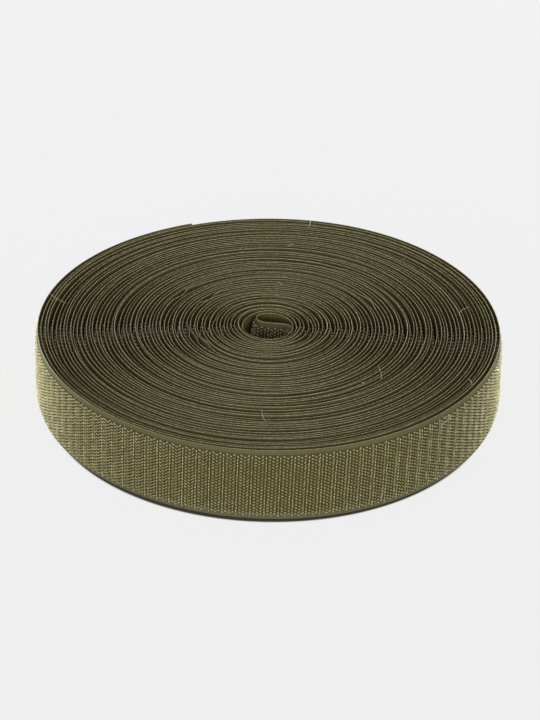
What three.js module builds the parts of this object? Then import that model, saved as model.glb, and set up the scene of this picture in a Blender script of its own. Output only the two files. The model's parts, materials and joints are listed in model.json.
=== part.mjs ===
// A roll of woven hook tape, wound on itself with no core and lying flat, in millimetres with +Z up.
// The tape is one strip: a woven web with a bare selvedge along each edge and a field of hooks between them.
// It starts inside the bore with a straight tongue and a curl, winds outwards clockwise as seen from above with
// the hooks facing out, and ends in a tail that lies on the outside and peels away from the roll.
// The real tape makes 56 turns. Here 24 loops fill the same space. The loops at the bore and at the rim are as
// thin as the tape, and each loop between them is as thick as the turns that it stands for.
import * as THREE from "three";

// Driving dimensions
const TAPE_WIDTH = 38;
const WEB_THICKNESS = 0.6;
const HOOK_HEIGHT = 1.2;
const SELVEDGE = 2.3;
const BORE_RADIUS = 11.4; // to the back of the tape where the winding begins
const ROLL_RADIUS = 114.3; // to the outside of the web where the tape ends
const LOOP_GAP = 0.45; // free space between one loop and the next
const CURL_RADIUS = 4.4; // to the back of the tape in the curl
const TIP_BEND_RADIUS = 7; // to the back of the tape in the tongue's bent tip
const TIP_CLEARANCE = 0.3; // between the tip and the circle of the bore
const FOLD_GAP = 0.3; // between two stretches of the tape where it folds
const HOOK_SETBACK = 1; // the hooks stop this far short of a fold

// Counts and angles
const LOOPS = 24;
const STEPS = 24; // straight facets in a loop
const EASE_LOOPS = 3; // loops over which the thickness changes
const TAIL_STRETCHES = 6; // one facet each
const CURL_STEPS = 9;
const TIP_STEPS = 3;
const END_ANGLE = 111; // where the tape ends on the outside, anticlockwise from +X
const CURL_SWEEP = 165;
const TIP_SWEEP = 35;

const STEP_ANGLE = 360 / STEPS;
const LAST_STEP = LOOPS * STEPS - 1;
const FIRST_FOLD = LAST_STEP - TAIL_STRETCHES;
const START_ANGLE = END_ANGLE + LAST_STEP * STEP_ANGLE;
const TAPE_PITCH = WEB_THICKNESS + HOOK_HEIGHT + LOOP_GAP;

const polar = (radius, degrees) => {
  const angle = THREE.MathUtils.degToRad(degrees);
  return new THREE.Vector2(Math.cos(angle), Math.sin(angle)).multiplyScalar(radius);
};

// A station is a place on the tape's back, the way that the hooks face there, and the height of web and hooks.
const station = (place, facing, web = WEB_THICKNESS, hooks = HOOK_HEIGHT) => ({ place, facing, web, hooks });

// How much of the extra thickness a loop has, counted in loops from the bore: none in the first and the last.
function thickeningShare(loop) {
  const rise = THREE.MathUtils.smoothstep(loop, 1, 1 + EASE_LOOPS);
  const fall = THREE.MathUtils.smoothstep(LOOPS - loop, 1, 1 + EASE_LOOPS);
  return Math.min(rise, fall);
}

// The radius of the tape's back at each step of the winding.
function windingRadii() {
  const build = ROLL_RADIUS - WEB_THICKNESS - BORE_RADIUS;
  const shares = Array.from({ length: LAST_STEP }, (_, i) => thickeningShare(i / STEPS));
  const spare = build - (TAPE_PITCH * LAST_STEP) / STEPS;
  const extra = spare / shares.reduce((sum, share) => sum + share, 0);
  const radii = [BORE_RADIUS];
  for (const share of shares) radii.push(radii.at(-1) + TAPE_PITCH / STEPS + share * extra);
  return radii;
}

// The winding, from the bore to the rim. Each loop reaches to within the gap of the loop outside it.
function windingStations() {
  const radii = windingRadii();
  return radii.map((radius, i) => {
    const degrees = START_ANGLE - i * STEP_ANGLE;
    const outside = radii[i + STEPS] ?? radius + TAPE_PITCH;
    return station(polar(radius, degrees), polar(1, degrees), outside - LOOP_GAP - HOOK_HEIGHT - radius);
  });
}

// The curl, from the start of the winding back to the fold at which the tongue begins.
function curlStations() {
  const centre = polar(BORE_RADIUS - CURL_RADIUS, START_ANGLE);
  return Array.from({ length: CURL_STEPS }, (_, i) => {
    const facing = polar(1, START_ANGLE + (CURL_SWEEP * (i + 1)) / CURL_STEPS);
    return station(centre.clone().addScaledVector(facing, CURL_RADIUS), facing);
  });
}

// The tongue, from the fold to the tape's inner end: straight across the bore, with a tip bent to the hook side.
function tongueStations(fold) {
  const facingAngle = START_ANGLE + CURL_SWEEP;
  const along = polar(1, facingAngle + 90);
  const bend = Array.from({ length: TIP_STEPS }, (_, i) => {
    const facing = polar(1, facingAngle - (TIP_SWEEP * (i + 1)) / TIP_STEPS);
    return station(fold.facing.clone().sub(facing).multiplyScalar(TIP_BEND_RADIUS), facing);
  });
  // The straight stretch is as long as brings the tip to its clearance from the circle of the bore.
  const reach = BORE_RADIUS - TIP_CLEARANCE;
  const tip = fold.place.clone().add(bend.at(-1).place);
  const ahead = tip.dot(along);
  const length = Math.sqrt(ahead * ahead + reach * reach - tip.lengthSq()) - ahead;
  const straight = station(fold.place.clone().addScaledVector(along, length), fold.facing);
  for (const s of bend) s.place.add(straight.place);
  return [straight, ...bend];
}

// A station moved from one place towards another by a length, with the hooks as high as told.
function shifted(from, towards, length, hooks) {
  const step = towards.place.clone().sub(from.place).setLength(length);
  return station(from.place.clone().add(step), from.facing, from.web, hooks);
}

// The two stations at a fold's side: the end of the bare web, and the place where the hooks begin.
function foldEnd(fold, towards) {
  const gap = FOLD_GAP / 2;
  return [shifted(fold, towards, gap, 0), shifted(fold, towards, gap + HOOK_SETBACK, HOOK_HEIGHT)];
}

// The tape's section at a station: the web across the whole width, and the hooks between the selvedges.
function section({ place, facing, web, hooks }) {
  const corners = [
    [0, 0],
    [web, 0],
    [web + hooks, SELVEDGE],
    [web + hooks, TAPE_WIDTH - SELVEDGE],
    [web, TAPE_WIDTH],
    [0, TAPE_WIDTH],
  ];
  return corners.map(([out, z]) => new THREE.Vector3(place.x + facing.x * out, place.y + facing.y * out, z));
}

// One closed solid through the sections of a row of stations that runs the way the tape winds.
function sweep(stations) {
  const rings = stations.map(section);
  const first = rings[0];
  const last = rings.at(-1);
  const triangles = [];
  for (let i = 1; i < rings.length; i++) {
    const [a, b] = [rings[i - 1], rings[i]];
    for (let k = 0; k < first.length; k++) {
      const next = (k + 1) % first.length;
      triangles.push([a[k], b[next], b[k]], [a[k], a[next], b[next]]);
    }
  }
  for (let k = 2; k < first.length; k++) {
    triangles.push([first[0], first[k], first[k - 1]], [last[0], last[k - 1], last[k]]);
  }
  const geometry = new THREE.BufferGeometry().setFromPoints(triangles.flat());
  geometry.computeVertexNormals();
  return geometry;
}

// The least distance from the tape to itself across the free space between loops, measured on points.
function leastGap(stations) {
  const backs = stations.map((s) => s.place);
  const fronts = stations.map((s) => s.place.clone().addScaledVector(s.facing, s.web + s.hooks));
  const toFacet = (point, a, b) => {
    const line = b.clone().sub(a);
    const share = THREE.MathUtils.clamp(point.clone().sub(a).dot(line) / line.lengthSq(), 0, 1);
    return point.distanceTo(a.clone().addScaledVector(line, share));
  };
  let least = Infinity;
  for (let i = 1; i < stations.length; i++) {
    const end = Math.min(i + 2 * STEPS, stations.length);
    for (let k = i + STEPS / 2; k < end; k++) {
      const backFacet = [backs[k - 1], backs[k]];
      const distances = [
        toFacet(fronts[i], ...backFacet),
        toFacet(backs[k], fronts[i - 1], fronts[i]),
        toFacet(backs[i], ...backFacet),
      ];
      least = Math.min(least, ...distances);
    }
  }
  return least;
}

const winding = windingStations();
const curl = curlStations();
const tongueFold = curl.at(-1);
const tongue = tongueStations(tongueFold);
const inward = [...curl, ...tongue];
const folds = winding.slice(FIRST_FOLD, LAST_STEP);

// The middle of the winding's outline, which goes on the Z axis.
const outline = new THREE.Box2();
for (const s of winding) outline.expandByPoint(s.place.clone().addScaledVector(s.facing, s.web + s.hooks));
const middle = outline.getCenter(new THREE.Vector2());

const hookTape = new THREE.MeshStandardMaterial({ color: 0x5a5632, roughness: 0.8, metalness: 0 });

const roll = new THREE.Group();
roll.position.set(-middle.x, -middle.y, 0);

function addStretch(name, stations) {
  const mesh = new THREE.Mesh(sweep(stations), hookTape);
  mesh.name = name;
  roll.add(mesh);
}

// The curl's last facet carries the hooks' slope down to the fold.
addStretch("wound_tape", [
  shifted(tongueFold, curl.at(-2), FOLD_GAP / 2, 0),
  ...curl.slice(0, -1).reverse(),
  ...winding.slice(0, FIRST_FOLD),
  ...foldEnd(folds[0], winding[FIRST_FOLD - 1]).reverse(),
]);

addStretch("inner_end", [...foldEnd(tongueFold, tongue[0]), ...tongue].reverse());

folds.forEach((fold, i) => {
  const next = winding[FIRST_FOLD + i + 1];
  const farEnd = i === TAIL_STRETCHES - 1 ? [next] : foldEnd(next, fold).reverse();
  addStretch(`tail_stretch_${i + 1}`, [...foldEnd(fold, next), ...farEnd]);
});

// Each fold turns about a line on the outside of the web, and the roll rests on the edges of its loops.
const printed = (s, out) => {
  const { x, y } = s.place.clone().addScaledVector(s.facing, out).sub(middle);
  return `${x.toFixed(3)}, ${y.toFixed(3)}`;
};
const restAt = winding[Math.round(LAST_STEP / 2)];
console.log("least gap of the tape to itself, mm:", leastGap([...inward.reverse(), ...winding]).toFixed(3));
for (const fold of [tongueFold, ...folds]) console.log("fold line at x, y:", printed(fold, fold.web));
console.log("middle of a loop's edge at x, y:", printed(restAt, restAt.web / 2));

export default roll;
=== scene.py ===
import json
import math

import bpy
import numpy as np
from mathutils import Matrix, Vector


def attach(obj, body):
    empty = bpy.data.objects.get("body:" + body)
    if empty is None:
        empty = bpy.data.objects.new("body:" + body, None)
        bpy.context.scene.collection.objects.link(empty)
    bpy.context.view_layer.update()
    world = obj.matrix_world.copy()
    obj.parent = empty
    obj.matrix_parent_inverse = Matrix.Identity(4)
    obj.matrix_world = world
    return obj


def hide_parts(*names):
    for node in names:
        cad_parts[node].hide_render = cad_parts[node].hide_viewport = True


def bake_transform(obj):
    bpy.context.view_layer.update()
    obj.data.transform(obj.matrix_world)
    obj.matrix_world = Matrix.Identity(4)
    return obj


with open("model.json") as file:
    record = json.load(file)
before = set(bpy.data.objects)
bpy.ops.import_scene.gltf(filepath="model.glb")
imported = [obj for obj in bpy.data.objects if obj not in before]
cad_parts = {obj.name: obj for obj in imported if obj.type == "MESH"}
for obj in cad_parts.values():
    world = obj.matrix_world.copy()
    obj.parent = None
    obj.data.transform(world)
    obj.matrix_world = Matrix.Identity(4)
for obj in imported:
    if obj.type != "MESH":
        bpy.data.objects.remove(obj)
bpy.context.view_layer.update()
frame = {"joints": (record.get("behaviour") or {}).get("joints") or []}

MM = 0.001
TURN = 2 * math.pi
random = np.random.default_rng(56)

# The tape
TAPE_WIDTH = 38 * MM
WEB_THICKNESS = 0.6 * MM
EDGE_THICKNESS = 0.26 * MM
EDGE_ROUNDING = 0.115 * MM
SELVEDGE_THICKNESS = 0.42 * MM
HOOK_HEIGHT = 1.2 * MM
SELVEDGE = 2.3 * MM
HOOK_ROWS = 20
HOOK_DROP = 0.3 * MM  # the field of hooks lies this far below the middle of the width
COLUMN_PITCH = 1.6 * MM  # of the hooks' columns, which stand across the tape
COLUMN_SLANT = math.radians(1.6)
COLUMN_SHIFT = -3.85 * MM  # along the tape, to where the photograph has the columns
WEFT_PITCH = 0.68 * MM
WARP_PITCH = 0.42 * MM
BENDING_WIDTH = 4 * SELVEDGE  # the upper part of the width, which bends where the edge leans

# The roll
CENTRE = np.array((0.56, 0.56)) * MM  # the winding's axis, beside the middle of the outline
BORE_RADIUS = 11.4 * MM
ROLL_RADIUS = 114.3 * MM
START_ANGLE = math.radians(96)
END_ANGLE = math.radians(111.8)
TURNS = 56
LAST_PHI = TURN * TURNS - (END_ANGLE - START_ANGLE)
PITCH = (ROLL_RADIUS - WEB_THICKNESS - BORE_RADIUS) / (LAST_PHI / TURN)
STEPS = 240  # points in a turn
BORE_STRETCH = 0.9 * MM  # the bore is longer one way
BORE_STRETCH_ANGLE = math.radians(8)
BORE_TURNS = 14  # turns over which this fades
CURL_RADIUS = 4.4 * MM
CURL_SWEEP = math.radians(165)
CURL_STEPS = 24
CURL_BULGE = 2.2 * MM  # how far the curl's body stands out
CURL_LEAN = -0.6  # the lean of its upper edge, back, as a share of that
CURL_HOOKS = 1.1  # height of the curl's hooks, which nothing presses down
TONGUE_LENGTH = 9.2 * MM
TONGUE_STEPS = 8
TIP_BEND_RADIUS = 5.5 * MM
TIP_SWEEP = math.radians(60)
TIP_STEPS = 10
RIM_TURNS = 1.27  # the outer turns that see the light
RIM_RISE = 20  # how fast the light sets in where they start, as a share per turn
FRONT_SHARE_IN_SHADE = 0.1  # how much of the front's colour is left between the turns; the rest is painted shade, in the back's darker colour
LIFTED_TURNS = 5  # the outer turns that stand above the surface on which the rest lies
RIM_LIFT = np.array((1.25, -0.59, -0.44)) * MM  # for all sides, towards +X and towards +Y
# Waves round the rim: how many there are, and their cosine and sine parts in mm
RIM_SHAPE = ((1, 0.65, -0.69), (2, -0.04, 0.47), (3, -0.52, 0.32))
SIDE_BULGES = ((-0.15, 1.6), (3.26, 0.4))  # the angles where the rim bulges, and how far, in mm
SIDE_BULGE_REACH = 0.55  # to either side, in radians

# Random waves of the turns: their spread, and the slowest and the fastest in cycles a turn
OUT_WAVES = (0.25 * MM, 0.3, 3.3)
LEAN_WAVES = (0.12 * MM, 0.4, 7)
LIFT_WAVES = (0.42 * MM, 0.05, 1.3)
WAVE_COUNT = 28
WAVE_GROWTH = 1.5  # turns over which the waves grow from either end
LEAN_GROWTH = 1.0


def smoothstep(x):
    x = np.clip(x, 0, 1)
    return x * x * (3 - 2 * x)


def polar(radius, angle):
    return np.stack([radius * np.cos(angle), radius * np.sin(angle)], axis=-1)


def waves(phi, spread, slowest, fastest):
    """A smooth random curve over the turns, with waves of so many cycles in a turn."""
    rates = random.uniform(slowest, fastest, WAVE_COUNT)
    phases = random.uniform(0, TURN, WAVE_COUNT)
    total = np.sin(np.outer(phi, rates) + phases).sum(axis=1)
    return total * spread / math.sqrt(WAVE_COUNT / 2)


class Line:
    """The line along the tape's back, as points from its inner end to its outer end.

    Each point has a place, the way that the hooks face there, the angle phi that the winding has turned
    through, below 0 on the tongue and the curl, and the length of tape up to it. Each also has how far the
    tape stands up and leans out there, and the room for the hooks.
    """

    def __init__(self):
        fold_angle = START_ANGLE + CURL_SWEEP
        fold_facing = polar(1, fold_angle)
        curl_centre = CENTRE + polar(BORE_RADIUS - CURL_RADIUS + wander(np.zeros(1))[0], START_ANGLE)
        fold = curl_centre + CURL_RADIUS * fold_facing
        bend = fold_angle - np.linspace(TIP_SWEEP, 0, TIP_STEPS)
        along = polar(1, fold_angle + TURN / 4)
        straight = np.linspace(TONGUE_LENGTH, 0, TONGUE_STEPS)
        curl = fold_angle - np.linspace(0, CURL_SWEEP, CURL_STEPS)
        phi = np.linspace(0, LAST_PHI, round(LAST_PHI / TURN * STEPS))
        tip_places = fold + TONGUE_LENGTH * along + TIP_BEND_RADIUS * (fold_facing - polar(1, bend))
        tongue_places = fold + straight[:, None] * along
        curl_places = curl_centre + polar(CURL_RADIUS, curl)
        radii = BORE_RADIUS + PITCH * phi / TURN + wander(phi)
        bulge = CURL_BULGE * np.sin(np.linspace(0, math.pi, CURL_STEPS)) ** 2
        curl_places += bulge[:, None] * polar(1, curl)
        places = [
            tip_places[:-1],
            tongue_places[:-1],
            curl_places[:-1],
            CENTRE + polar(radii, START_ANGLE - phi),
        ]
        facings = [
            polar(1, bend[:-1]),
            np.tile(fold_facing, (len(straight) - 1, 1)),
            polar(1, curl[:-1]),
            polar(1, START_ANGLE - phi),
        ]
        counts = np.cumsum([len(p) for p in places])
        self.place = np.concatenate(places)
        self.facing = np.concatenate(facings)
        self.phi = np.concatenate([np.linspace(-1, 0, counts[2], endpoint=False), phi])
        steps = np.linalg.norm(np.diff(self.place, axis=0), axis=1)
        self.length = np.concatenate([[0], np.cumsum(steps)])
        self.lift = lift(self.phi)
        self.lean = lean(self.phi)
        self.lean[counts[1] : counts[2]] = CURL_LEAN * bulge[:-1]
        self.slope = bent(self.phi, RIM_BENDS)
        gap = np.interp(phi + TURN, phi, radii, right=np.inf) - radii - WEB_THICKNESS
        free_room = np.full(counts[2], HOOK_HEIGHT * CURL_HOOKS)
        self.room = np.concatenate([free_room, np.minimum(gap, HOOK_HEIGHT)])
        self.fold = int(counts[1])
        self.curl_end = int(counts[2])

    def index(self, phi):
        """The number of the winding's point at an angle."""
        return self.curl_end + round(phi / TURN * STEPS)

    def at(self, length, values):
        """The points' values, read at any length along the tape."""
        if values.ndim == 1:
            return np.interp(length, self.length, values)
        return np.stack([np.interp(length, self.length, column) for column in values.T], axis=-1)


def inside(phi, turns):
    """0 at the winding's two ends and 1 between them, over so many turns."""
    return smoothstep(phi / TURN / turns) * smoothstep((LAST_PHI - phi) / TURN / turns)


def wander(phi):
    """How far a turn lies outside its even spiral."""
    angle = START_ANGLE - phi
    bore = BORE_STRETCH * (1 - np.cos(2 * (angle - BORE_STRETCH_ANGLE))) / 2
    rim = sum(c * np.cos(n * angle) + s * np.sin(n * angle) for n, c, s in RIM_SHAPE) * MM
    for middle, bulge in SIDE_BULGES:
        from_middle = (angle - middle + math.pi) % TURN - math.pi
        rim += bulge * MM * np.exp(-((from_middle / SIDE_BULGE_REACH) ** 2))
    uneven = inside(phi, WAVE_GROWTH) * waves(phi, *OUT_WAVES)
    return uneven + rim * smoothstep(phi / LAST_PHI) + bore * (1 - smoothstep(phi / TURN / BORE_TURNS))


# Places where a turn's upper edge is bent: the turn's radius in mm, the angle in degrees, and the bend and
# its reach along the turn, in mm
EDGE_BENDS = (
    (52.6, 147, -1.5, 4.5),
    (52.6, 139, 1.0, 3.5),
    (39.6, 149, 0.9, 3.0),
    (39.6, 140, -1.5, 4.0),
    (39.6, 128, 0.9, 4.0),
    (40.6, 188, -1.5, 4.5),
    (38.8, 199, -1.2, 4.0),
    (37.0, 210, -1.6, 6.0),
    (35.2, 214, -0.9, 6.0),
    (56.0, 27, 1.3, 5.0),
    (27.0, 168, -0.8, 4.0),
    (24.0, 205, 0.7, 4.0),
    (88.0, 148, 0.7, 5.0),
    (70.0, 62, -0.8, 4.0),
    (75.0, -72, 0.7, 4.0),
)
# Places where a turn near the rim leans over its whole width, given the same way
RIM_BENDS = (
    (112.9, -90, 0.8, 70.0),
    (113.3, 187, -0.4, 65.0),
    (111.5, 187, -0.25, 65.0),
    (109.7, 187, -0.1, 65.0),
    (112.6, -8, -0.6, 60.0),
    (110.8, -8, -0.4, 60.0),
    (109.0, -8, -0.2, 60.0),
)


def bent(phi, bends):
    """How far a list of bends brings the edge out."""
    total = np.zeros(len(phi))
    for radius, degrees, bend, reach in bends:
        at_radius = (radius * MM - BORE_RADIUS) / PITCH * TURN
        turn_start = (START_ANGLE - math.radians(degrees)) % TURN
        at = turn_start + TURN * round((at_radius - turn_start) / TURN)
        total += bend * MM * np.exp(-(((phi - at) * radius / reach) ** 2))
    return total


def lean(phi):
    """How far a turn's upper edge leans out."""
    return inside(phi, LEAN_GROWTH) * waves(phi, *LEAN_WAVES) + bent(phi, EDGE_BENDS)


def lift(phi):
    """How far a turn stands above the surface."""
    uneven = np.abs(waves(phi, *LIFT_WAVES))
    angle = START_ANGLE - phi
    rim = RIM_LIFT[0] + RIM_LIFT[1] * np.cos(angle) + RIM_LIFT[2] * np.sin(angle)
    near_rim = smoothstep((phi - LAST_PHI) / TURN / LIFTED_TURNS + 1)
    return uneven * inside(phi, WAVE_GROWTH) + rim * near_rim


def web_section():
    """The corners of the web's section, as rows of how far out and how far up they lie."""
    r = EDGE_ROUNDING
    # From the back round the lower edge to the front, where the selvedge ends and the web is thicker
    lower = [
        (0, SELVEDGE * 2),
        (0, 1.5 * r),
        (r, 0),
        (EDGE_THICKNESS - r, 0),
        (EDGE_THICKNESS, 1.5 * r),
        (SELVEDGE_THICKNESS, SELVEDGE * 0.9),
        (WEB_THICKNESS, SELVEDGE * 1.2),
    ]
    upper = [(out, TAPE_WIDTH - up) for out, up in reversed(lower)]
    bend = TAPE_WIDTH - BENDING_WIDTH
    front = [(WEB_THICKNESS, bend), (WEB_THICKNESS, TAPE_WIDTH - SELVEDGE * 2.2)]
    return np.array([*lower, *front, *upper, (0, bend)]).T


def leaning(up):
    """How much a point of the section takes part in a lean of the upper edge."""
    return smoothstep(1 - (TAPE_WIDTH - up) / BENDING_WIDTH)


def tilted(out, up, lean, slope):
    """How far out a point of the section lies where the edge leans and the whole width slopes."""
    return out + lean * leaning(up) + slope * up / TAPE_WIDTH


def tube_walls(rings, sides):
    """The faces between rings of points."""
    ring, side = np.meshgrid(np.arange(rings - 1), np.arange(sides), indexing="ij")
    a = (ring * sides + side).ravel()
    b = (ring * sides + (side + 1) % sides).ravel()
    return np.stack([a, b, b + sides, a + sides], axis=-1)


def mesh_object(name, vertices, faces, material, uv=None, tone_and_light=None, sharp=35):
    """A mesh piece. Faces are groups of rows of vertex numbers, and edges past the sharp angle show."""
    mesh = bpy.data.meshes.new(name)
    loops = np.concatenate([group.ravel() for group in faces]).astype(np.int32)
    totals = np.concatenate([np.full(len(group), group.shape[1]) for group in faces]).astype(np.int32)
    mesh.vertices.add(len(vertices))
    mesh.vertices.foreach_set("co", vertices.astype(np.float32).ravel())
    mesh.loops.add(len(loops))
    mesh.loops.foreach_set("vertex_index", loops)
    mesh.polygons.add(len(totals))
    mesh.polygons.foreach_set("loop_start", np.concatenate([[0], np.cumsum(totals)[:-1]]).astype(np.int32))
    mesh.update(calc_edges=True)
    mesh.shade_smooth()
    mesh.set_sharp_from_angle(angle=math.radians(sharp))
    if uv is not None:
        mesh.uv_layers.new(name="tape").data.foreach_set("uv", uv[loops].astype(np.float32).ravel())
    if tone_and_light is not None:
        mesh.attributes.new("tone_and_light", "FLOAT", "POINT").data.foreach_set("value", tone_and_light.astype(np.float32))
    mesh.materials.append(material)
    mesh.validate()
    piece = bpy.data.objects.new(name, mesh)
    bpy.context.scene.collection.objects.link(piece)
    return piece


def web_piece(name, line, first, last, step=1):
    """The web between two points of the line, closed at both ends."""
    chosen = np.unique(np.append(np.arange(first, last, step), last))
    phi = line.phi[chosen]
    out, up = web_section()
    rings, sides = len(chosen), len(out)
    radial = tilted(out, up, line.lean[chosen][:, None], line.slope[chosen][:, None])
    flat = line.place[chosen][:, None] + line.facing[chosen][:, None] * radial[..., None]
    height = up + line.lift[chosen][:, None]
    vertices = np.concatenate([flat, height[..., None]], axis=-1).reshape(-1, 3)
    start = np.arange(sides)[None, ::-1]
    end = (rings - 1) * sides + np.arange(sides)[None, :]
    faces = [tube_walls(rings, sides), start, end]
    uv = np.stack(np.broadcast_arrays(line.length[chosen][:, None], up), axis=-1).reshape(-1, 2) / MM
    # Painted shade: between the turns the front mostly takes the back's darker colour. The front's colour
    # shows on the rim, and where an edge that is bent inwards opens a gap.
    rim = smoothstep(((phi - LAST_PHI) / TURN + RIM_TURNS) * RIM_RISE)
    lit_share = np.maximum(rim, np.clip(-bent(phi, EDGE_BENDS) / MM, 0, 1))
    tone_and_light = smoothstep(out / EDGE_THICKNESS) * (FRONT_SHARE_IN_SHADE + (1 - FRONT_SHARE_IN_SHADE) * lit_share)[:, None]
    return mesh_object(name, vertices, faces, web_material, uv=uv, tone_and_light=tone_and_light.ravel())


# The hook
HOOK_BEND = 0.30 * MM
HOOK_STEM = 0.76 * MM
HOOK_ROOT = 0.05 * MM
HOOK_WIRE = 0.14 * MM
HOOK_TIP = 0.35 * MM  # how far the cut end comes back towards the web


def hook_shape(sides, bends):
    """One hook: its points along the hook, across it and out of the web, and its faces."""
    angles = np.radians(bends)
    line = [(0.0, -HOOK_ROOT, 0.0)]
    line += [(HOOK_BEND * (1 - math.cos(a)), HOOK_STEM + HOOK_BEND * math.sin(a), a) for a in angles]
    line.append((2 * HOOK_BEND, HOOK_STEM - HOOK_TIP, math.pi))
    around = np.arange(sides) / sides * TURN
    points = []
    for x, y, a in line:
        across = HOOK_WIRE * np.sin(around)
        inward = HOOK_WIRE * np.cos(around)
        points.append(np.stack([x + inward * math.cos(a), across, y - inward * math.sin(a)], axis=-1))
    rings = len(line)
    walls = tube_walls(rings, sides)[:, [0, 3, 2, 1]]
    tip = (rings - 1) * sides + np.arange(sides)[None, ::-1]
    return np.concatenate(points), [walls, tip]


# Which way the hooks of a column point, as an angle from the tape's length towards its upper edge. The
# columns of a herringbone repeat in fours: one stands in line across the tape and three slant.
COLUMN_ANGLES = np.radians([90, -40, 36, 40])
COLUMN_REACH = np.array([1.3, 1.25, 1.25, 1.25])
# Painted highlight and shade: the column in line across the tape is paler and the slanted ones darker, as the
# light catches them.
COLUMN_LIGHT_AND_SHADE = np.array([1.5, 1.1, 0.4, 0.8])
OUTER_ROWS = np.array([0.65, 0.85, 1.0])  # height of the rows nearest the selvedges, from the outermost in
LOOSE = 1.6  # how much more unruly the hooks of the inner end are
HOOK_STRAY = 0.05 * MM  # spread of the hooks' places
HOOK_TWIST = 0.11  # spread of their angles
HOOK_FILL = (0.97, 0.05)  # how much of the room a hook takes: middle and spread
TONE_POWER = 1.5  # above 1 it makes pale hooks rarer than dark ones


def hooks_piece(name, line, start, end, rows, shape, disorder=1):
    """Hooks on the outer side of the web between two lengths of the tape, on the numbered rows."""
    points, faces = shape
    first = math.floor((start - COLUMN_SHIFT) / COLUMN_PITCH) - 1
    last = math.ceil((end - COLUMN_SHIFT) / COLUMN_PITCH) + 1
    columns = np.arange(first, last + 1)
    column, row = [g.ravel() for g in np.meshgrid(columns, np.array(rows), indexing="ij")]
    row_pitch = (TAPE_WIDTH - 2 * SELVEDGE) / HOOK_ROWS
    # Every second column stands half a row higher.
    up = SELVEDGE - HOOK_DROP + (row + 0.25 + 0.5 * (column % 2)) * row_pitch
    length = column * COLUMN_PITCH + COLUMN_SHIFT + (TAPE_WIDTH / 2 - up) * math.tan(COLUMN_SLANT)
    here = (start <= length) & (length < end)
    column, row, up, length = column[here], row[here], up[here], length[here]
    count = len(column)
    up = up + random.normal(0, HOOK_STRAY * disorder, count)
    length = length + random.normal(0, HOOK_STRAY * disorder, count)
    angle = COLUMN_ANGLES[column % 4] + random.normal(0, HOOK_TWIST * disorder, count)
    reach = COLUMN_REACH[column % 4]
    place = line.at(length, line.place)
    facing = line.at(length, line.facing)
    facing /= np.linalg.norm(facing, axis=1)[:, None]
    tangent = np.stack([facing[:, 1], -facing[:, 0]], axis=-1)
    height = line.at(length, line.room) / HOOK_HEIGHT * random.normal(*HOOK_FILL, count)
    height *= OUTER_ROWS[np.minimum(np.minimum(row, HOOK_ROWS - 1 - row), len(OUTER_ROWS) - 1)]
    base = tilted(WEB_THICKNESS, up, line.at(length, line.lean), line.at(length, line.slope))
    along = (points[:, 0] - HOOK_BEND) * reach[:, None]
    across = np.tile(points[:, 1], (count, 1))
    sine, cosine = np.sin(angle)[:, None], np.cos(angle)[:, None]
    on_tape = along * cosine - across * sine
    on_width = along * sine + across * cosine
    outward = base[:, None] + points[:, 2] * height[:, None]
    flat = place[:, None] + tangent[:, None] * on_tape[..., None] + facing[:, None] * outward[..., None]
    z = (up + line.at(length, line.lift))[:, None] + on_width
    vertices = np.concatenate([flat, z[..., None]], axis=-1).reshape(-1, 3)
    numbers = np.arange(count)[:, None, None] * len(points)
    groups = [(group[None] + numbers).reshape(-1, group.shape[1]) for group in faces]
    # Each hook's tone differs at random, with the columns' painted highlight and shade.
    tone_and_light = random.uniform(0, 1, count) ** TONE_POWER * COLUMN_LIGHT_AND_SHADE[column % 4]
    tone_and_light += row == HOOK_ROWS - 1  # the uppermost row catches the light
    tone_and_light = np.repeat(tone_and_light, len(points))
    return mesh_object(name, vertices, groups, hook_material, tone_and_light=tone_and_light, sharp=80)


THREAD_RADIUS = 0.08 * MM


def thread_piece(name, points, material):
    """A loose thread that runs along the points."""
    curve = bpy.data.curves.new(name, "CURVE")
    curve.dimensions = "3D"
    spline = curve.splines.new("NURBS")
    spline.points.add(len(points) - 1)
    for target, point in zip(spline.points, points):
        target.co = (*point, 1)
    spline.use_endpoint_u = True
    spline.order_u = min(4, len(points))
    curve.bevel_depth = THREAD_RADIUS
    curve.bevel_resolution = 1
    curve.resolution_u = 6
    curve.use_fill_caps = True
    curve.materials.append(material)
    piece = bpy.data.objects.new(name, curve)
    bpy.context.scene.collection.objects.link(piece)
    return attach(piece, "roll")


# Materials
NOISE_ROUGHNESS = 0.6


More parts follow.
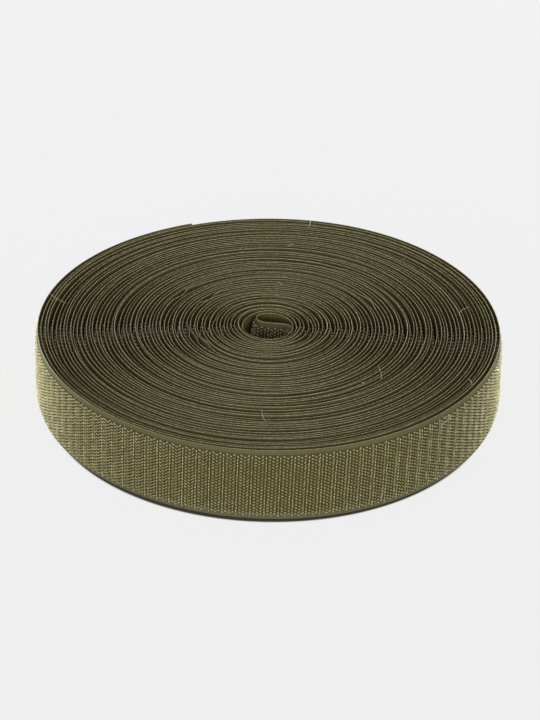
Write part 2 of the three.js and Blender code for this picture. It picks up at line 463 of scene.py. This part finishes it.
class Shader:
    """A material, with short ways to add and join its nodes."""

    def __init__(self, name, **values):
        self.material = bpy.data.materials.new(name)
        self.material.use_nodes = True
        self.tree = self.material.node_tree
        self.principled = self.tree.nodes["Principled BSDF"]
        for socket, value in values.items():
            self.principled.inputs[socket.replace("_", " ")].default_value = value

    def put(self, value, socket):
        """Join a node's output to a socket, or write a plain value there."""
        if isinstance(value, bpy.types.NodeSocket):
            self.tree.links.new(value, socket)
        else:
            socket.default_value = value

    def set(self, socket, value):
        self.put(value, self.principled.inputs[socket])

    def node(self, kind, inputs=(), **settings):
        node = self.tree.nodes.new(kind)
        for setting, value in settings.items():
            setattr(node, setting, value)
        for number, value in enumerate(inputs):
            self.put(value, node.inputs[number])
        return node

    def math(self, operation, *inputs):
        return self.node("ShaderNodeMath", inputs, operation=operation).outputs[0]

    def map_range(self, value, low, high, to_low, to_high):
        return self.node("ShaderNodeMapRange", (value, low, high, to_low, to_high)).outputs[0]

    def clamp(self, value):
        return self.node("ShaderNodeClamp", (value, 0.0, 1.0)).outputs[0]

    def mix(self, share, low, high):
        """A colour between two, each a node's output or its red, green and blue."""
        node = self.node("ShaderNodeMix", (share,), data_type="RGBA")
        for colour, socket in ((low, node.inputs[6]), (high, node.inputs[7])):
            self.put(colour if isinstance(colour, bpy.types.NodeSocket) else (*colour, 1), socket)
        return node.outputs[2]

    def noise(self, scale, detail=3.0):
        node = self.node("ShaderNodeTexNoise")
        self.put(self.node("ShaderNodeTexCoord").outputs["Object"], node.inputs["Vector"])
        for socket, value in (("Scale", scale), ("Detail", detail), ("Roughness", NOISE_ROUGHNESS)):
            self.put(value, node.inputs[socket])
        return node.outputs["Fac"]

    def bump(self, height, distance):
        node = self.node("ShaderNodeBump")
        self.put(distance, node.inputs["Distance"])
        self.put(height, node.inputs["Height"])
        self.set("Normal", node.outputs["Normal"])


# The web's colours, and where they lie, in mm as on the tape's map
# The back's colours also paint the shade on the front between the turns.
BACK_AND_SHADE_COLOURS = (0.048, 0.04, 0.011), (0.097, 0.081, 0.026)
FRONT_COLOURS = (0.105, 0.097, 0.046), (0.148, 0.138, 0.072)
PATCH_SCALE = 90
RIB_COLOUR = (0.235, 0.215, 0.105)
RIB_CONTRAST = 0.45
RIB_SHARE = 0.2
RIB_HEIGHT = 0.03 * MM
FIELD_SHADE_COLOUR = (0.105, 0.09, 0.032)  # painted shade beneath the hooks, on the front where it takes the light
FIELD_START = 0.8 * SELVEDGE / MM  # from the edge
FIELD_RISE = 1.2
EDGE_COLOUR_AND_HIGHLIGHT = (0.88, 0.81, 0.48)  # where the weft turns: a paler edge, made paler still as a painted highlight
EDGE_FALL = 4.5
LOWER_EDGE_FALL = 0.7  # of the fall at the upper edge, so the lower edge's pale band is wider, painted light as from the floor
EDGE_LOSS = 0.5  # how much less of the edge's colour and painted highlight the front has where it takes the light
BEAD_SCALE = 800
BEAD_RANGE = (0.35, 0.65, 0.45, 1.0)  # two levels of the noise, and how strong the edge's colour is there


def make_web_material():
    """Woven olive nylon with a coated back: fine ribs both ways, and paler edges where the weft turns,
    brightened as a painted highlight. Painted shade darkens the front between the turns and beneath the hooks
    on the rim.
    """
    shader = Shader("woven_web", Roughness=0.7, Specular_IOR_Level=0.06)
    tape = shader.node("ShaderNodeUVMap", uv_map="tape").outputs["UV"]
    split = shader.node("ShaderNodeSeparateXYZ", (tape,))
    length, up = split.outputs["X"], split.outputs["Y"]
    weft = shader.math("SINE", shader.math("MULTIPLY", length, TURN * MM / WEFT_PITCH))
    warp = shader.math("SINE", shader.math("MULTIPLY", up, TURN * MM / WARP_PITCH))
    weave = shader.math("MULTIPLY_ADD", weft, warp, weft)
    patches = shader.noise(PATCH_SCALE)
    # The attribute is 1 on the front where it takes the light, and falls towards 0 on the back and, as
    # painted shade, on the front between the turns.
    front = shader.node("ShaderNodeAttribute", attribute_name="tone_and_light").outputs["Fac"]
    colour = shader.mix(front, shader.mix(patches, *BACK_AND_SHADE_COLOURS), shader.mix(patches, *FRONT_COLOURS))
    colour = shader.mix(shader.math("MULTIPLY_ADD", weave, RIB_CONTRAST, RIB_SHARE), colour, RIB_COLOUR)

    above = shader.math("SUBTRACT", TAPE_WIDTH / MM, up)
    from_edge = shader.math("MINIMUM", shader.math("MULTIPLY", up, LOWER_EDGE_FALL), above)
    # Painted shade in the field beneath the hooks, only on the rim's lit front.
    field = shader.math("MULTIPLY", shader.math("SUBTRACT", from_edge, FIELD_START), FIELD_RISE)
    colour = shader.mix(shader.math("MULTIPLY", shader.clamp(field), front), colour, FIELD_SHADE_COLOUR)

    # The pale edge: partly the weft turning, partly a painted highlight, beaded along its length.
    edge = shader.clamp(shader.math("SUBTRACT", 1.0, shader.math("MULTIPLY", from_edge, EDGE_FALL)))
    kept = shader.math("SUBTRACT", 1.0, shader.math("MULTIPLY", front, EDGE_LOSS))
    edge = shader.math("MULTIPLY", edge, kept)
    beads = shader.map_range(shader.noise(BEAD_SCALE, detail=1.0), *BEAD_RANGE)
    shader.set("Base Color", shader.mix(shader.math("MULTIPLY", edge, beads), colour, EDGE_COLOUR_AND_HIGHLIGHT))
    shader.bump(weave, RIB_HEIGHT)
    return shader.material


HOOK_COLOURS = (0.515, 0.48, 0.24), (0.93, 0.89, 0.58)


def make_hook_material():
    """Glossy olive nylon monofilament, each hook a little lighter or darker than the next, with painted
    highlights on some columns and on the uppermost row.
    """
    shader = Shader(
        "nylon_hooks",
        Roughness=0.33,
        Specular_IOR_Level=0.6,
        Subsurface_Weight=0.7,
        Subsurface_Radius=(1.0, 0.97, 0.8),
        Subsurface_Scale=0.3 * MM,
        Sheen_Weight=1.0,
        Sheen_Roughness=0.3,
        Sheen_Tint=(1.0, 0.98, 0.84, 1),
    )
    tone_and_light = shader.node("ShaderNodeAttribute", attribute_name="tone_and_light").outputs["Fac"]
    shader.set("Base Color", shader.mix(tone_and_light, *HOOK_COLOURS))
    return shader.material


THREAD_SCALE = 900


def make_thread_material(name, dark, pale):
    """A loose fibre."""
    shader = Shader(name, Roughness=0.6, Specular_IOR_Level=0.3)
    shader.set("Base Color", shader.mix(shader.noise(THREAD_SCALE), dark, pale))
    return shader.material


web_material = make_web_material()
hook_material = make_hook_material()
thread_material = make_thread_material("loose_thread", (0.46, 0.44, 0.26), (0.7, 0.68, 0.48))
white_thread_material = make_thread_material("white_thread", (0.7, 0.69, 0.58), (0.9, 0.89, 0.82))

# The wound tape, its inner end and its tail
line = Line()
joints = {joint["name"]: np.array(joint["pos_m"]) for joint in frame["joints"]}
TAIL_STRETCHES = len(joints) - 1  # all but the tongue's joint fold the tail


def fold_index(number):
    """The point of the line at one of the tail's folds, counted from 1."""
    x, y = joints[f"tail_fold_{number}"][:2] - CENTRE
    before_end = (math.atan2(y, x) - END_ANGLE) % TURN
    return line.index(LAST_PHI - before_end)


fold_indices = [fold_index(k + 1) for k in range(TAIL_STRETCHES)] + [len(line.phi) - 1]
rim_hook = hook_shape(4, (0, 40, 85, 130, 175))
gap_hook = hook_shape(3, (0, 80, 160))  # a plainer one, for between the turns
ALL_ROWS = range(HOOK_ROWS)
UPPER_ROWS = range(HOOK_ROWS - 3, HOOK_ROWS)
LOWER_ROWS = range(1)

web = web_piece("wound_web", line, line.fold, fold_indices[0], step=2)
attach(web, "roll")
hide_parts("wound_tape")

tongue = web_piece("tongue_web", line, 0, line.fold)
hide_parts("inner_end")
fold_length, curl_length = line.length[line.fold], line.length[line.curl_end]
tongue_hooks = hooks_piece("tongue_hooks", line, 0, fold_length, ALL_ROWS, rim_hook, LOOSE)
for piece in (tongue, tongue_hooks):
    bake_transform(piece)

curl_hooks = hooks_piece("curl_hooks", line, fold_length, curl_length, ALL_ROWS, rim_hook, LOOSE)
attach(curl_hooks, "roll")

# The rim's hooks go round once and on beneath the tail. Between the turns there are only the outer rows,
# which can be seen from above and below. Each run is cut into parts.
rim_start, rim_end = line.length[fold_indices[0] - STEPS], line.length[fold_indices[0]]
HOOK_RUNS = (
    ("rim_hooks", 3, rim_start, rim_end, ALL_ROWS, rim_hook),
    ("upper_hooks", 5, curl_length, rim_start, UPPER_ROWS, gap_hook),
    ("lower_hooks", 2, curl_length, rim_start, LOWER_ROWS, gap_hook),
)
for name, parts, start, end, rows, shape in HOOK_RUNS:
    marks = np.linspace(start, end, parts + 1)
    for k in range(parts):
        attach(hooks_piece(f"{name}_{k + 1}", line, marks[k], marks[k + 1], rows, shape), "roll")

for k in range(TAIL_STRETCHES):
    first, last = fold_indices[k], fold_indices[k + 1]
    start, end = line.length[first], line.length[last]
    stretch = web_piece(f"tail_web_{k + 1}", line, first, last)
    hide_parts(f"tail_stretch_{k + 1}")
    hooks = hooks_piece(f"tail_hooks_{k + 1}", line, start, end, ALL_ROWS, rim_hook)
    for piece in (stretch, hooks):
        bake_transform(piece)

# Loose threads on the upper side, as points across and back from the winding's axis, in mm
THREADS = (
    ((21.1, 109.2), (21.2, 106.2), (20.2, 102.8)),
    ((9.4, 81.4), (11.2, 83.0), (12.6, 83.5)),
    ((6.9, 48.3), (8.2, 47.9), (8.9, 46.3)),
    ((3.9, 43.0), (5.9, 42.2), (6.4, 39.9)),
    ((-109.2, 23.4), (-105.6, 19.5), (-101.2, 18.1)),
    ((94.5, 13.4), (96.0, 17.6), (99.9, 20.6)),
    ((52.7, -37.7), (54.6, -44.0), (53.8, -50.5)),
    ((44.2, -52.6), (45.5, -53.6), (45.6, -55.3)),
    ((95.2, -48.3), (96.9, -51.5), (96.7, -54.6)),
    ((-2.4, -79.7), (-2.6, -85.0), (-0.4, -90.0)),
)
WHITE_THREADS = 2  # the first ones
THREAD_RISE = (0.1, 0.7)  # how far they lie above the turns, from and to, in mm
for k, points in enumerate(THREADS):
    flat = CENTRE + np.array(points) * MM
    below = np.linalg.norm(line.place[:, None] - flat, axis=-1).argmin(axis=0)
    heights = TAPE_WIDTH + line.lift[below] + random.uniform(*THREAD_RISE, len(points)) * MM
    material = white_thread_material if k < WHITE_THREADS else thread_material
    thread_piece(f"thread_{k + 1}", np.column_stack([flat, heights]), material)

# The curl of thread on the rim, as angles, how far out of the web and how far below its upper edge, in mm
RIM_THREAD = (
    (-42.4, 0.3, 2.6),
    (-41.6, 1.6, 1.3),
    (-40.4, 2.2, 1.6),
    (-40.6, 2.4, 3.2),
    (-41.8, 2.1, 3.6),
    (-42.9, 2.2, 4.4),
    (-44.0, 2.0, 3.7),
    (-43.4, 2.1, 5.2),
)
places = []
for degrees, out, down in RIM_THREAD:
    phi = LAST_PHI - (math.radians(degrees) - END_ANGLE) % TURN
    at = line.index(phi)
    flat = line.place[at] + line.facing[at] * (WEB_THICKNESS + out * MM)
    places.append((*flat, line.lift[at] + TAPE_WIDTH - down * MM))
thread_piece("rim_thread", places, white_thread_material)

# Floor, light and camera
PALE = 0.855  # the background's grey
SKY = 0.52  # the share of it that lights the object
FLOOR_SIZE = 12
FLOOR_COLOUR = (0.8, 0.8, 0.8)
FLOOR_GLOW = 0.955  # share of the floor's light that no shadow dims
FLOOR_LEVEL = 0.88  # how bright it looks
FLOOR_BOUNCE = 0.5  # how brightly it lights the object
RIM_CENTRE = CENTRE + np.array(RIM_SHAPE[0][1:]) * MM
# A painted shadow under the roll: a dark floor colour that does not glow.
PAINTED_SHADOW_COLOUR = (0.16, 0.13, 0.11)
UNDER_RIM = 110.2 * MM  # radius of the painted shadow under the roll
UNDER_RIM_BLUR = 1 * MM
UNDER_RIM_FORWARD = 3.1 * MM  # the rim stands up at the front, where the painted shadow shows


def shown_pale(tree):
    """1 for the rays that show the surroundings and 0 for those that light the object by them."""
    path = tree.nodes.new("ShaderNodeLightPath")
    total = path.outputs["Is Camera Ray"]
    for kind in ("Is Glossy Ray", "Is Transmission Ray"):
        either = tree.nodes.new("ShaderNodeMath")
        either.operation = "MAXIMUM"
        tree.links.new(total, either.inputs[0])
        tree.links.new(path.outputs[kind], either.inputs[1])
        total = either.outputs[0]
    return total


def make_floor():
    """A pale floor that glows evenly, but for a painted shadow right under the roll, and keeps a faint
    shadow.
    """
    bpy.ops.mesh.primitive_plane_add(size=FLOOR_SIZE)
    floor = bpy.context.object
    floor.name = "floor"
    shader = Shader("floor", Roughness=0.9)
    place = shader.node("ShaderNodeTexCoord").outputs["Object"]
    middle = (RIM_CENTRE[0], RIM_CENTRE[1] - UNDER_RIM_FORWARD, 0)
    from_middle = shader.node("ShaderNodeVectorMath", (place, middle), operation="DISTANCE").outputs["Value"]
    outside_painted_shadow = shader.map_range(from_middle, UNDER_RIM, UNDER_RIM + UNDER_RIM_BLUR, 0.0, FLOOR_GLOW)
    shader.set("Base Color", shader.mix(outside_painted_shadow, PAINTED_SHADOW_COLOUR, FLOOR_COLOUR))
    level = shader.map_range(shown_pale(shader.tree), 0.0, 1.0, FLOOR_BOUNCE, FLOOR_LEVEL)
    glow = shader.node("ShaderNodeEmission", ((1, 1, 1, 1), level)).outputs[0]
    mixed = shader.node("ShaderNodeMixShader", (outside_painted_shadow, shader.principled.outputs[0], glow)).outputs[0]
    shader.put(mixed, shader.tree.nodes["Material Output"].inputs["Surface"])
    floor.data.materials.append(shader.material)


def make_world():
    """A pale grey all round, which lights the object less than it shows."""
    world = bpy.data.worlds.new("studio")
    world.use_nodes = True
    bpy.context.scene.world = world
    background = world.node_tree.nodes["Background"]
    background.inputs["Color"].default_value = (PALE, PALE, PALE, 1)
    strength = world.node_tree.nodes.new("ShaderNodeMapRange")
    strength.inputs["To Min"].default_value = SKY
    strength.inputs["To Max"].default_value = 1.0
    world.node_tree.links.new(shown_pale(world.node_tree), strength.inputs["Value"])
    world.node_tree.links.new(strength.outputs["Result"], background.inputs["Strength"])


STRIP_AIM = (0, 0, 0.03)
BOX_AIM = (0, 0, 0.02)
# The lamps, with place, aim, size and power in watts
LAMPS = (
    ("left_strip", (-0.585, 0.546, 0.034), STRIP_AIM, (0.6, 0.06), 11.5),
    ("right_strip", (0.4925, 0.63, 0.034), STRIP_AIM, (0.7, 0.06), 8.5),
    ("back_box", (0, 0.75, 1.0), BOX_AIM, (1.0, 0.6), 3.5),
    ("front_left_box", (-0.75, -1.07, 0.3), BOX_AIM, (0.35, 0.3), 3.8),
    ("front_right_box", (0.75, -1.07, 0.3), BOX_AIM, (0.35, 0.3), 3.8),
)


def make_light(name, place, aim, size, power):
    light = bpy.data.lights.new(name, "AREA")
    light.shape = "RECTANGLE"
    light.size, light.size_y = size
    light.energy = power
    lamp = bpy.data.objects.new(name, light)
    lamp.location = place
    lamp.rotation_mode = "QUATERNION"
    lamp.rotation_quaternion = (Vector(aim) - Vector(place)).to_track_quat("-Z", "Y")
    bpy.context.scene.collection.objects.link(lamp)


CAMERA_ELEVATION = math.radians(31.07)
CAMERA_TILT = math.radians(0.93)  # the picture leans to the right
CAMERA_DISTANCE = 1204.5 * MM
CAMERA_ASIDE = 0.93 * MM
CAMERA_RAISE = -16.95 * MM
FOCAL_PIXELS = 2446
IMAGE_HEIGHT = 720
SENSOR_WIDTH = 36


def make_camera():
    """The photograph's camera, aimed at the axis at the height of the tape's upper edge."""
    sine, cosine = math.sin(CAMERA_ELEVATION), math.cos(CAMERA_ELEVATION)
    forward = Vector((0, cosine, -sine))
    up = Vector((0, sine, cosine))
    right = Vector((1, 0, 0))
    target = Vector((*CENTRE, TAPE_WIDTH))
    data = bpy.data.cameras.new("camera")
    data.sensor_width = SENSOR_WIDTH
    data.lens = SENSOR_WIDTH * FOCAL_PIXELS / IMAGE_HEIGHT
    camera = bpy.data.objects.new("camera", data)
    camera.location = target - CAMERA_DISTANCE * forward + CAMERA_RAISE * up + CAMERA_ASIDE * right
    across = math.cos(CAMERA_TILT) * right + math.sin(CAMERA_TILT) * up
    turned = Matrix((across, forward.cross(-across), -forward)).transposed()
    camera.rotation_mode = "QUATERNION"
    camera.rotation_quaternion = turned.to_quaternion()
    bpy.context.scene.collection.objects.link(camera)
    bpy.context.scene.camera = camera


make_floor()
make_world()
for lamp in LAMPS:
    make_light(*lamp)
make_camera()
bpy.context.scene.view_settings.view_transform = "Standard"
